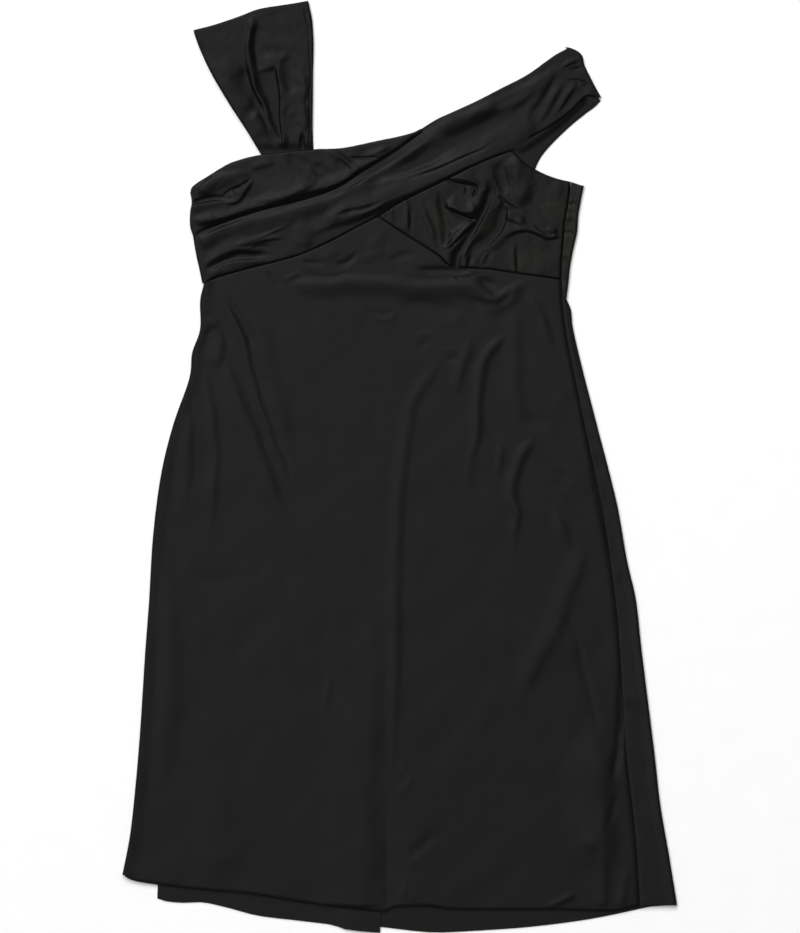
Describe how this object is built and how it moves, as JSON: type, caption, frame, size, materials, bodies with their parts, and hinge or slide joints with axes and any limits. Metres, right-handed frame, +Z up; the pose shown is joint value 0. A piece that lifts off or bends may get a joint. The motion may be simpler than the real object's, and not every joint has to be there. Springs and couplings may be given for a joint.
{
  "type": "asymmetric a-line dress",
  "caption": "Knee-length A-line dress in black satin with an asymmetric draped bodice and two wide straps, laid flat face up.",
  "frame": {"origin": "bottom of the bounding box, under the middle of the dress's width and length, on the surface it lies on", "axes": "+X across the dress to the viewer's right, +Y along it from the hem to the shoulders, +Z up out of its front"},
  "size_m": [0.6376, 1.0699, 0.0097],
  "materials": {
    "black_satin": "smooth satin with a soft sheen"
  },
  "bodies": {
    "root": {"skirt_front": "black_satin", "skirt_back_left": "black_satin", "skirt_back_right": "black_satin", "bodice_back": "black_satin", "drape_upper": "black_satin", "drape_band": "black_satin", "cup": "black_satin", "strap_left_front": "black_satin", "strap_left_back": "black_satin", "strap_right_back": "black_satin"}
  },
  "joints": []
}
